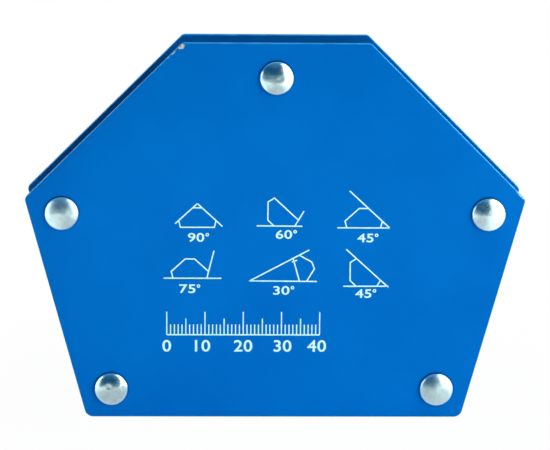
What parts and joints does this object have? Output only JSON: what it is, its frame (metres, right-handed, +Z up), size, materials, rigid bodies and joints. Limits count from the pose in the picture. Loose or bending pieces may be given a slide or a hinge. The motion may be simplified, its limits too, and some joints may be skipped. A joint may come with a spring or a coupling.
{
  "type": "welding magnet holder",
  "caption": "Six-sided riveted plate magnet that holds steel work at set angles while it is welded.",
  "frame": {"origin": "middle of the base edge, halfway through the thickness", "axes": "+X along the base edge to the right of someone facing the printed front plate, +Y from the front plate to the rear plate, +Z up from the base edge to the top edge"},
  "size_m": [0.1296, 0.0206, 0.0995],
  "materials": {
    "blue_coating": "gloss",
    "black_plastic": "matte",
    "ferrite": "matte",
    "aluminium": "satin",
    "bright_steel": "polished",
    "white_print": "satin"
  },
  "bodies": {
    "root": {"front_plate": "blue_coating", "rear_plate": "blue_coating", "filler_core": "black_plastic", "magnet_bottom_left": "ferrite", "magnet_bottom_right": "ferrite", "magnet_right_side": "ferrite", "magnet_right_diagonal": "ferrite", "magnet_left_diagonal": "ferrite", "magnet_left_side": "ferrite", "sleeve_top": "aluminium", "sleeve_left": "aluminium", "sleeve_right": "aluminium", "sleeve_bottom_left": "aluminium", "sleeve_bottom_right": "aluminium", "rivet_top": "bright_steel", "rivet_left": "bright_steel", "rivet_right": "bright_steel", "rivet_bottom_left": "bright_steel", "rivet_bottom_right": "bright_steel"}
  },
  "joints": []
}
